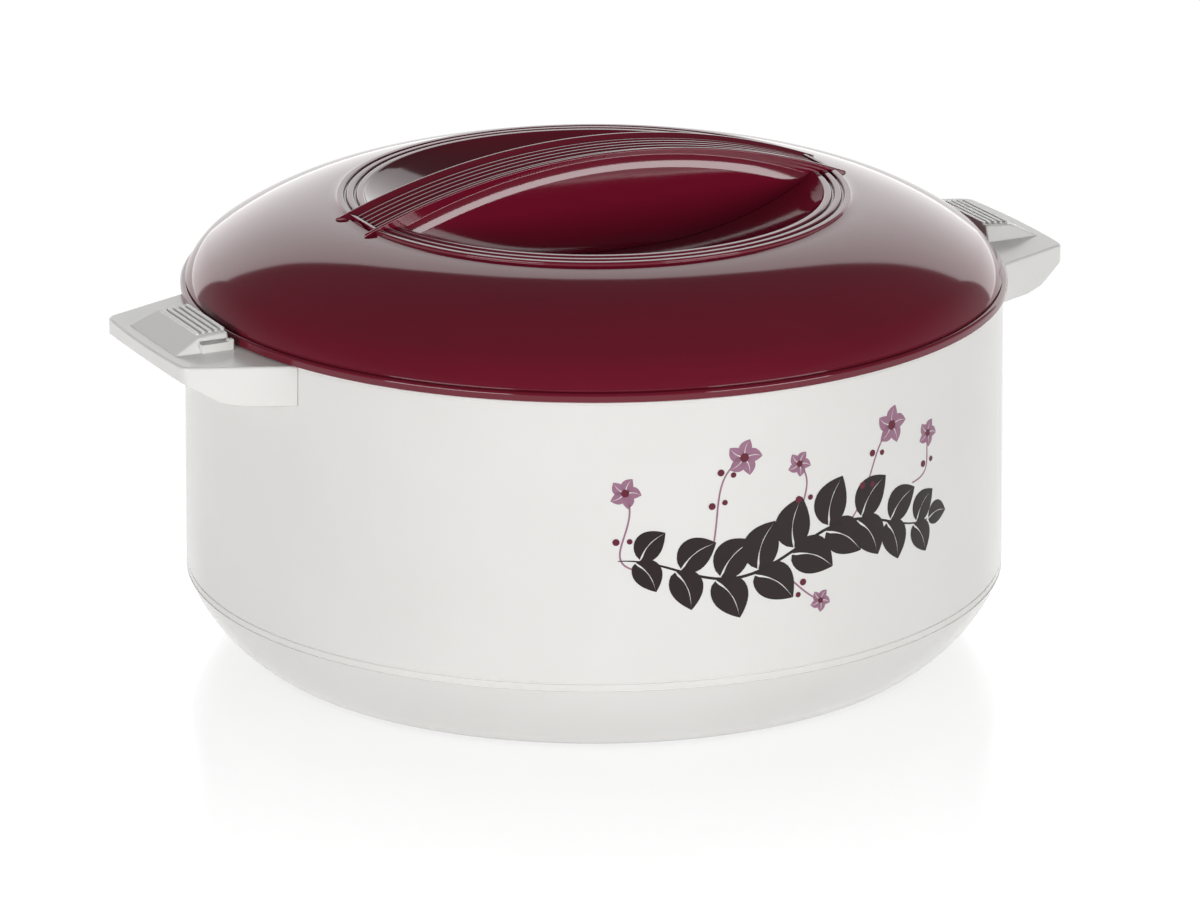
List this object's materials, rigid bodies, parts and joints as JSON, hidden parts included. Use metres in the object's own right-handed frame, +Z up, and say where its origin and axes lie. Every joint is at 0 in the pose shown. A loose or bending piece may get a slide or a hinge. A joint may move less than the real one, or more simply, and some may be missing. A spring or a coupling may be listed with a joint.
{
  "type": "insulated casserole",
  "caption": "Round insulated casserole with a rounded base, side lugs, steel pot and lift-off domed lid with a sunk dish and bridge handle.",
  "frame": {"origin": "centre of the foot ring, on the surface it stands on", "axes": "+Z up; +X through the lugs and along the handle, towards lug_right; +Y across them"},
  "size_m": [0.2844, 0.24, 0.1468],
  "materials": {
    "body_white": "gloss",
    "lid_burgundy": "gloss",
    "pot_steel": "satin",
    "screw_steel": "satin",
    "seal_rubber": "matte",
    "foam": "matte"
  },
  "bodies": {
    "base": {"outer_shell": "body_white", "base_cup": "body_white", "fill_plug": "body_white", "inner_pot": "pot_steel", "rim_collar": "body_white", "body_foam": "foam", "lug_left": "body_white", "lug_right": "body_white", "lug_screws": "screw_steel"},
    "seal": {"lid_seal": "seal_rubber"},
    "lid": {"lid_shell": "lid_burgundy", "lid_handle": "lid_burgundy", "handle_screws": "screw_steel", "lid_liner": "body_white", "lid_foam": "foam"}
  },
  "joints": [
    {"name": "lid_lift", "type": "slide", "parent": "base", "child": "seal", "axis": [0, 0, 1], "range_m": [0, 0.1]},
    {"name": "lid_turn", "type": "hinge", "parent": "seal", "child": "lid", "pos_m": [0, 0, 0.1065], "axis": [0, 0, 1], "continuous": true}
  ]
}
